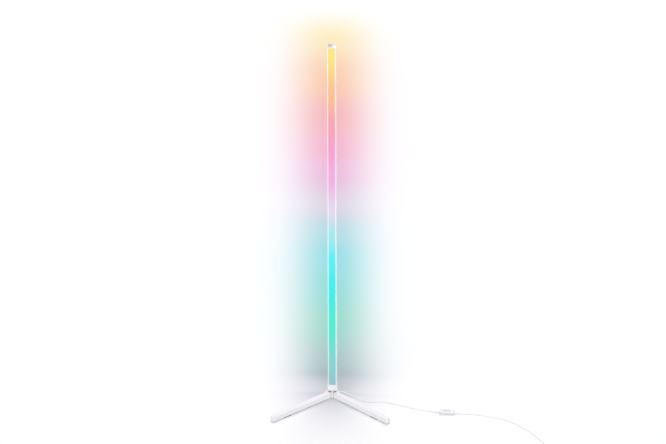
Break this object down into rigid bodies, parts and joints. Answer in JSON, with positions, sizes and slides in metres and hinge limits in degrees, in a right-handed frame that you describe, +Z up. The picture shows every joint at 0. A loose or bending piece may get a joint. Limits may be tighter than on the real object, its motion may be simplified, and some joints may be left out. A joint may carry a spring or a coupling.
{
  "type": "corner floor lamp",
  "caption": "Slim white pole lamp with a full-height opal light strip, on two low legs at a right angle, with a thin cord, an in-line push switch and a plug-in adapter.",
  "frame": {"origin": "on the floor below the pole's axis, in the middle of the hub's rubber foot", "axes": "+Z up along the pole, the light and the open side between the legs face -Y, +X to the right seen from the front, where the cord leaves"},
  "size_m": [1.1285, 0.615, 1.5],
  "materials": {
    "pole_aluminium": "matte",
    "white_enamel": "satin",
    "opal_diffuser": "matte",
    "white_plastic": "satin",
    "grey_plastic": "satin",
    "button_plastic": "satin",
    "dark_plastic": "matte",
    "circuit_board": "satin",
    "light_chips": "gloss",
    "inner_wire": "satin",
    "cord_jacket": "satin",
    "foot_rubber": "matte",
    "screw_steel": "satin",
    "ballast_steel": "matte",
    "pin_brass": "polished"
  },
  "bodies": {
    "lamp": {"pole_profile": "pole_aluminium", "diffuser": "opal_diffuser", "led_board": "circuit_board", "led_chips": "light_chips", "top_cap": "white_plastic", "controller_board": "circuit_board", "controller_parts": "dark_plastic", "led_wires": "inner_wire", "inner_lead": "cord_jacket", "cord_clamp": "dark_plastic", "hub_casting": "white_enamel", "hub_base_plate": "white_enamel", "base_plate_screws": "screw_steel", "pole_screws": "screw_steel", "hub_foot": "foot_rubber", "left_leg": "white_enamel", "left_leg_weight": "ballast_steel", "left_leg_cover": "dark_plastic", "left_leg_foot": "foot_rubber", "left_leg_screws": "screw_steel", "left_cover_screws": "screw_steel", "right_leg": "white_enamel", "right_leg_weight": "ballast_steel", "right_leg_cover": "dark_plastic", "right_leg_foot": "foot_rubber", "right_leg_screws": "screw_steel", "right_cover_screws": "screw_steel", "cord_gland": "white_plastic", "cord_lead": "cord_jacket", "cord_run": "cord_jacket", "cord_coil": "cord_jacket", "cord_tail": "cord_jacket", "switch_lower_shell": "grey_plastic", "switch_upper_shell": "white_plastic", "switch_board": "circuit_board", "switch_parts": "dark_plastic", "switch_screws": "screw_steel", "switch_relief_in": "white_plastic", "switch_relief_out": "white_plastic", "adapter_relief": "white_plastic", "adapter_case": "white_plastic", "adapter_face": "white_plastic", "adapter_pins": "pin_brass", "adapter_board": "circuit_board", "adapter_parts": "dark_plastic"},
    "button": {"switch_button": "button_plastic"}
  },
  "joints": [
    {"name": "switch_press", "type": "slide", "parent": "lamp", "child": "button", "axis": [0, 0, -1], "range_m": [0, 0.001], "stiffness_N_per_m": 800}
  ]
}
